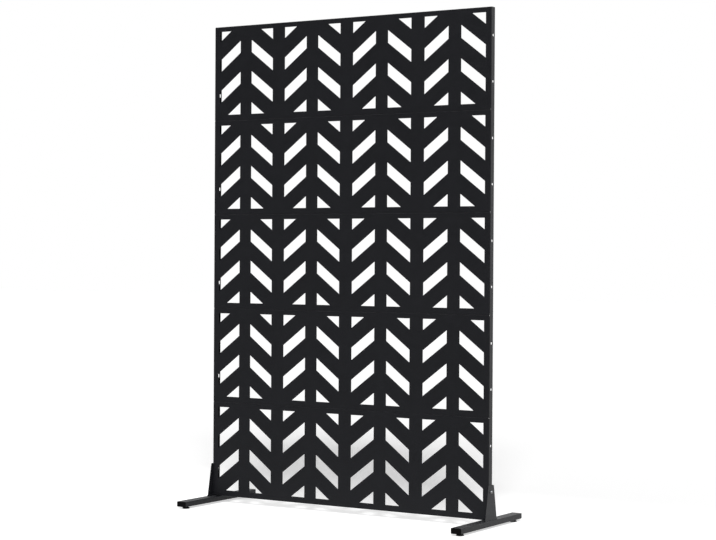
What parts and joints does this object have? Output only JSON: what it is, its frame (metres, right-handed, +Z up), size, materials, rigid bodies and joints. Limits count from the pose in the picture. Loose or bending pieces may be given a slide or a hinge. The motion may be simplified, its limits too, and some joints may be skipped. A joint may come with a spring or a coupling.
{
  "type": "privacy screen",
  "caption": "Free-standing metal privacy screen: stacked sheet-steel panels pierced with slanted leaf slots, on tube feet with bolted uprights and levelling glides.",
  "frame": {"origin": "on the floor, under the middle of the screen's width and of the feet's length; this is also the middle of the panels' depth", "axes": "+X to the right as seen from the front, +Y from the pierced front to the open back, +Z up"},
  "size_m": [1.216, 0.456, 1.8295],
  "materials": {
    "powder_coat": "fine-textured matt black powder coat",
    "zinc": "dull zinc plate",
    "cap_plastic": "moulded black plastic",
    "pad_plastic": "moulded black plastic"
  },
  "bodies": {
    "screen": {"bottom_panel": "powder_coat", "lower_panel": "powder_coat", "middle_panel": "powder_coat", "upper_panel": "powder_coat", "top_panel": "powder_coat", "left_foot_tube": "powder_coat", "right_foot_tube": "powder_coat", "left_upright": "powder_coat", "right_upright": "powder_coat", "left_weld_bead": "powder_coat", "right_weld_bead": "powder_coat", "seam_1_bolts": "zinc", "seam_2_bolts": "zinc", "seam_3_bolts": "zinc", "seam_4_bolts": "zinc", "seam_1_washers": "zinc", "seam_2_washers": "zinc", "seam_3_washers": "zinc", "seam_4_washers": "zinc", "seam_1_nuts": "zinc", "seam_2_nuts": "zinc", "seam_3_nuts": "zinc", "seam_4_nuts": "zinc", "left_side_bolt": "zinc", "right_side_bolt": "zinc", "left_side_washers": "zinc", "right_side_washers": "zinc", "left_side_nut": "zinc", "right_side_nut": "zinc", "left_foot_bolt": "zinc", "right_foot_bolt": "zinc", "left_foot_washer": "zinc", "right_foot_washer": "zinc", "left_rivet_nut": "zinc", "right_rivet_nut": "zinc", "left_front_insert": "zinc", "left_rear_insert": "zinc", "right_front_insert": "zinc", "right_rear_insert": "zinc", "left_front_cap": "cap_plastic", "left_rear_cap": "cap_plastic", "right_front_cap": "cap_plastic", "right_rear_cap": "cap_plastic"},
    "left_front_glide": {"left_front_stud": "zinc", "left_front_pad": "pad_plastic"},
    "left_rear_glide": {"left_rear_stud": "zinc", "left_rear_pad": "pad_plastic"},
    "right_front_glide": {"right_front_stud": "zinc", "right_front_pad": "pad_plastic"},
    "right_rear_glide": {"right_rear_stud": "zinc", "right_rear_pad": "pad_plastic"}
  },
  "joints": [
    {"name": "left_front_glide_screw", "type": "slide", "parent": "screen", "child": "left_front_glide", "axis": [0, 0, -1], "range_m": [0, 0.01]},
    {"name": "left_rear_glide_screw", "type": "slide", "parent": "screen", "child": "left_rear_glide", "axis": [0, 0, -1], "range_m": [0, 0.01]},
    {"name": "right_front_glide_screw", "type": "slide", "parent": "screen", "child": "right_front_glide", "axis": [0, 0, -1], "range_m": [0, 0.01]},
    {"name": "right_rear_glide_screw", "type": "slide", "parent": "screen", "child": "right_rear_glide", "axis": [0, 0, -1], "range_m": [0, 0.01]}
  ]
}
